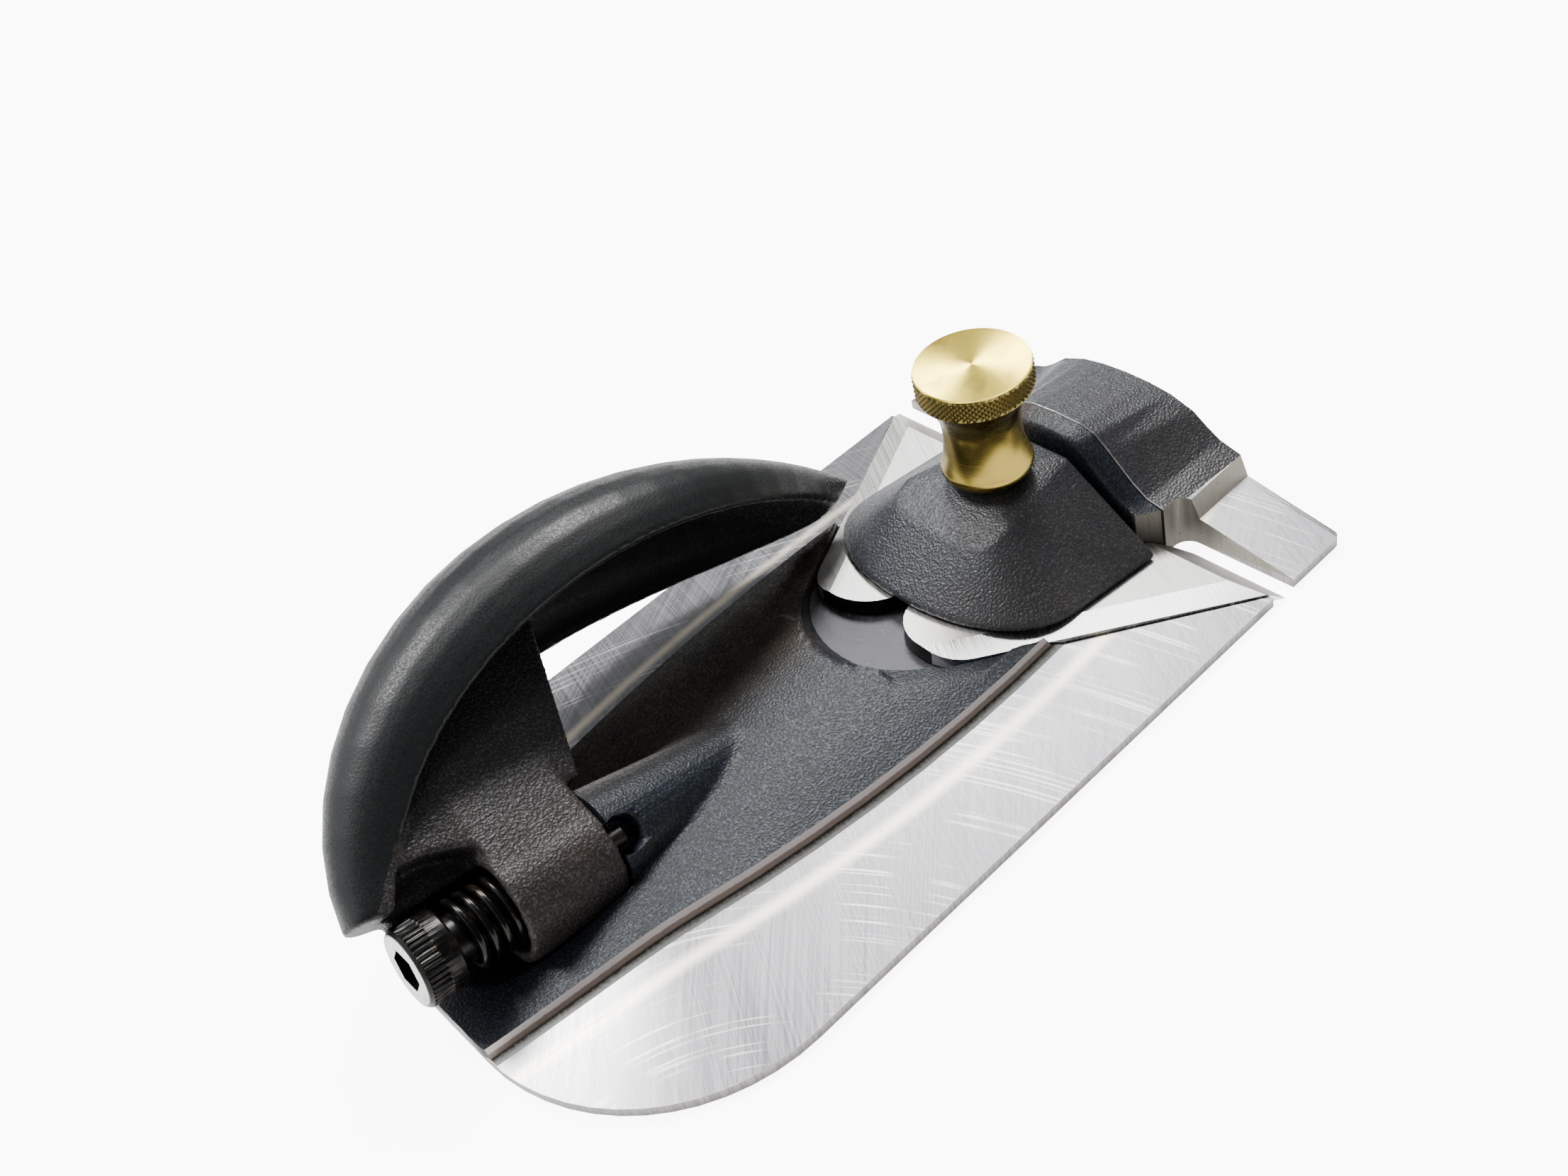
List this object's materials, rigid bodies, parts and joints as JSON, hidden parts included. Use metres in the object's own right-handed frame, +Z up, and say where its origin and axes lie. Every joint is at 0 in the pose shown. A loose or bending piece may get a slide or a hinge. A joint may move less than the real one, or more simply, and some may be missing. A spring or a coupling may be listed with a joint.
{
  "type": "side rebate plane",
  "caption": "Low hand plane with thin ground wings, skewed blades under one lever cap with a brass knob, a bolted nose and a palm handle that swings over to either side.",
  "frame": {"origin": "point on the sole, on the body's centre line, 70 mm in front of the body's rear end", "axes": "+X towards the nose, +Y to the left, +Z up from the sole"},
  "size_m": [0.1413, 0.0784, 0.0401],
  "materials": {
    "body": "black baked enamel in the middle, ground wings",
    "nose": "black baked enamel on the hump, ground wings",
    "nose_screw": "black oxide",
    "blade": "ground tool steel",
    "lever_cap": "black baked enamel",
    "cap_knob": "spun top, knurled rim",
    "handle": "black baked enamel, worn along the edge",
    "handle_pin": "black oxide",
    "handle_spring": "black oxide wire",
    "pivot_screw": "black oxide, knurled head"
  },
  "bodies": {
    "plane_body": {"body": "body", "nose": "nose", "nose_screw": "nose_screw", "pivot_screw": "pivot_screw"},
    "right_blade": {"blade_right": "blade"},
    "left_blade": {"blade_left": "blade"},
    "cap": {"lever_cap": "lever_cap"},
    "knob": {"cap_knob": "cap_knob"},
    "spring": {"handle_spring": "handle_spring"},
    "swing_handle": {"handle": "handle", "handle_pin": "handle_pin"}
  },
  "joints": [
    {"name": "cap_lift", "type": "slide", "parent": "plane_body", "child": "cap", "axis": [0, 0, 1], "range_m": [0, 0.0026]},
    {"name": "knob_turn", "type": "hinge", "parent": "cap", "child": "knob", "pos_m": [0.0358, 0, 0.037], "axis": [0, 0, 1], "range_deg": [0, 720]},
    {"name": "right_blade_slide", "type": "slide", "parent": "plane_body", "child": "right_blade", "axis": [-0.8576, 0.5, 0.1205], "range_m": [0, 0.002]},
    {"name": "left_blade_slide", "type": "slide", "parent": "plane_body", "child": "left_blade", "axis": [-0.8576, -0.5, 0.1205], "range_m": [0, 0.002]},
    {"name": "handle_swing", "type": "hinge", "parent": "plane_body", "child": "spring", "pos_m": [-0.0713, 0, 0.0141], "axis": [0.9848, 0, -0.1736], "range_deg": [0, 106]},
    {"name": "handle_pull", "type": "slide", "parent": "spring", "child": "swing_handle", "axis": [-0.9848, 0, 0.1736], "range_m": [0, 0.004], "stiffness_N_per_m": 1500, "springref_m": -0.004, "deforming": ["handle_spring"]}
  ],
  "couplings": [
    {"joint": "cap_lift", "follows": "knob_turn", "m_per_rad": 0.00020213}
  ]
}
